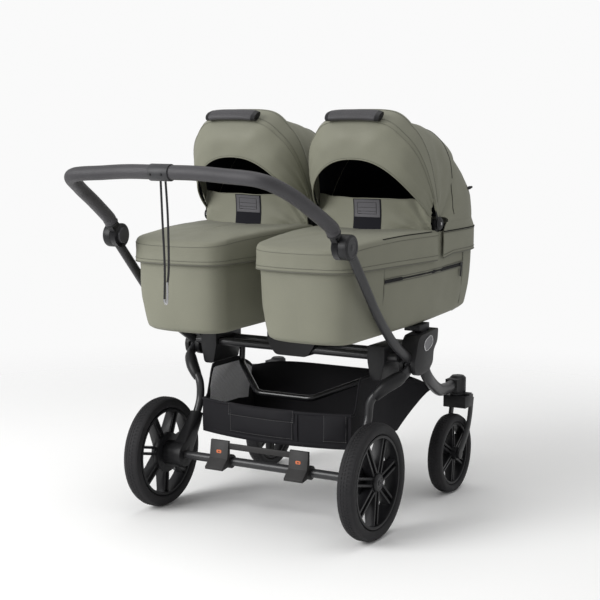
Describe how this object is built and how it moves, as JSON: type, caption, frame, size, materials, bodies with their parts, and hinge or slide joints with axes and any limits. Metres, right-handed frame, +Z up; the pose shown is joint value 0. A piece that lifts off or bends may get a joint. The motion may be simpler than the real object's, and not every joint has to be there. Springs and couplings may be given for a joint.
{
  "type": "twin pram",
  "caption": "Side-by-side twin pram: folding chassis on spoked wheels with castors in front, tilting handle, basket and lift-off carrycots with folding hoods.",
  "frame": {"origin": "on the ground, below the middle of the bounding box", "axes": "+X to the pusher's right, +Y forward in the direction of travel, +Z up"},
  "size_m": [0.738, 1.091, 1.0686],
  "materials": {
    "tyre_rubber": "matt foam rubber",
    "leatherette": "grained leatherette",
    "olive_fabric": "coated woven cloth",
    "mattress_cover": "quilted cotton",
    "black_fabric": "woven polyester",
    "dark_tube": "satin powder coat",
    "black_tube": "gloss powder coat",
    "grey_plastic": "fine spark texture",
    "black_plastic": "fine spark texture"
  },
  "bodies": {
    "chassis": {"side_bracket_left": "grey_plastic", "side_bracket_right": "grey_plastic", "inner_housings": "grey_plastic", "cross_tubes": "dark_tube", "centre_adapter": "black_plastic", "lower_tube_left": "dark_tube", "lower_tube_right": "dark_tube", "hub_cases": "black_plastic", "front_leg_left": "dark_tube", "front_leg_right": "dark_tube", "castor_head_left": "black_plastic", "castor_head_right": "black_plastic", "basket_hoop": "black_tube", "basket": "black_fabric"},
    "rear_frame": {"rear_leg_left": "dark_tube", "rear_leg_right": "dark_tube", "suspension_left": "black_plastic", "suspension_right": "black_plastic", "rear_axle": "dark_tube"},
    "brake": {"brake_pedal_left": "grey_plastic", "brake_pedal_right": "grey_plastic", "brake_link": "grey_plastic"},
    "handle": {"handle_bar": "leatherette", "handle_knuckles": "black_plastic", "strap_collar": "black_plastic"},
    "strap": {"wrist_strap": "black_fabric"},
    "rear_wheel_left": {"rear_tyre_left": "tyre_rubber", "rear_rim_left": "black_plastic", "rear_cap_left": "grey_plastic"},
    "castor_left": {"castor_fork_left": "grey_plastic"},
    "swivel_lock_left": {"swivel_lock_left": "black_plastic"},
    "front_wheel_left": {"front_tyre_left": "tyre_rubber", "front_rim_left": "black_plastic"},
    "hub_button_left": {"hub_button_left": "grey_plastic"},
    "cot_left": {"cot_body_left": "olive_fabric", "cot_adapters_left": "black_plastic", "hood_pivots_left": "black_plastic", "mattress_left": "mattress_cover", "apron_left": "olive_fabric", "hood_canopy_left": "olive_fabric"},
    "hood_left": {"hood_bow_left": "olive_fabric", "hood_visor_left": "olive_fabric", "hood_grip_left": "leatherette"},
    "rear_wheel_right": {"rear_tyre_right": "tyre_rubber", "rear_rim_right": "black_plastic", "rear_cap_right": "grey_plastic"},
    "castor_right": {"castor_fork_right": "grey_plastic"},
    "swivel_lock_right": {"swivel_lock_right": "black_plastic"},
    "front_wheel_right": {"front_tyre_right": "tyre_rubber", "front_rim_right": "black_plastic"},
    "hub_button_right": {"hub_button_right": "grey_plastic"},
    "cot_right": {"cot_body_right": "olive_fabric", "cot_adapters_right": "black_plastic", "hood_pivots_right": "black_plastic", "mattress_right": "mattress_cover", "apron_right": "olive_fabric", "hood_canopy_right": "olive_fabric"},
    "hood_right": {"hood_bow_right": "olive_fabric", "hood_visor_right": "olive_fabric", "hood_grip_right": "leatherette"}
  },
  "joints": [
    {"name": "rear_fold", "type": "hinge", "parent": "chassis", "child": "rear_frame", "pos_m": [0, 0.0985, 0.42], "axis": [1, 0, 0], "range_deg": [0, 44]},
    {"name": "brake_press", "type": "hinge", "parent": "rear_frame", "child": "brake", "pos_m": [0, -0.0915, 0.15], "axis": [1, 0, 0], "range_deg": [0, 20]},
    {"name": "handle_tilt", "type": "hinge", "parent": "chassis", "child": "handle", "pos_m": [0, -0.2635, 0.757], "axis": [1, 0, 0], "range_deg": [-35, 60]},
    {"name": "strap_swing", "type": "hinge", "parent": "handle", "child": "strap", "pos_m": [0, -0.5255, 0.935], "axis": [1, 0, 0], "range_deg": [-60, 35]},
    {"name": "rear_wheel_left_roll", "type": "hinge", "parent": "rear_frame", "child": "rear_wheel_left", "pos_m": [-0.324, -0.0915, 0.15], "axis": [1, 0, 0], "continuous": true},
    {"name": "castor_left_swivel", "type": "hinge", "parent": "chassis", "child": "castor_left", "pos_m": [-0.3, 0.4825, 0.25], "axis": [0, 0, 1], "continuous": true},
    {"name": "front_wheel_left_roll", "type": "hinge", "parent": "castor_left", "child": "front_wheel_left", "pos_m": [-0.3, 0.4335, 0.112], "axis": [1, 0, 0], "continuous": true},
    {"name": "swivel_lock_left_turn", "type": "hinge", "parent": "chassis", "child": "swivel_lock_left", "pos_m": [-0.3, 0.4825, 0.276], "axis": [0, 0, -1], "range_deg": [0, 35]},
    {"name": "hub_button_left_press", "type": "slide", "parent": "handle", "child": "hub_button_left", "axis": [-1, 0, 0], "range_m": [0, 0.0035], "stiffness_N_per_m": 600},
    {"name": "cot_left_lift", "type": "slide", "parent": "chassis", "child": "cot_left", "axis": [0, 0, 1], "range_m": [0, 0.5]},
    {"name": "hood_left_fold", "type": "hinge", "parent": "cot_left", "child": "hood_left", "pos_m": [-0.186, 0.2045, 0.782], "axis": [1, 0, 0], "range_deg": [-43, 0], "deforming": ["hood_visor_left"]},
    {"name": "rear_wheel_right_roll", "type": "hinge", "parent": "rear_frame", "child": "rear_wheel_right", "pos_m": [0.324, -0.0915, 0.15], "axis": [1, 0, 0], "continuous": true},
    {"name": "castor_right_swivel", "type": "hinge", "parent": "chassis", "child": "castor_right", "pos_m": [0.3, 0.4825, 0.25], "axis": [0, 0, 1], "continuous": true},
    {"name": "front_wheel_right_roll", "type": "hinge", "parent": "castor_right", "child": "front_wheel_right", "pos_m": [0.3, 0.4335, 0.112], "axis": [1, 0, 0], "continuous": true},
    {"name": "swivel_lock_right_turn", "type": "hinge", "parent": "chassis", "child": "swivel_lock_right", "pos_m": [0.3, 0.4825, 0.276], "axis": [0, 0, 1], "range_deg": [0, 35]},
    {"name": "hub_button_right_press", "type": "slide", "parent": "handle", "child": "hub_button_right", "axis": [1, 0, 0], "range_m": [0, 0.0035], "stiffness_N_per_m": 600},
    {"name": "cot_right_lift", "type": "slide", "parent": "chassis", "child": "cot_right", "axis": [0, 0, 1], "range_m": [0, 0.5]},
    {"name": "hood_right_fold", "type": "hinge", "parent": "cot_right", "child": "hood_right", "pos_m": [0.186, 0.2045, 0.782], "axis": [1, 0, 0], "range_deg": [-43, 0], "deforming": ["hood_visor_right"]}
  ],
  "couplings": [
    {"joint": "strap_swing", "follows": "handle_tilt", "ratio": -1}
  ]
}
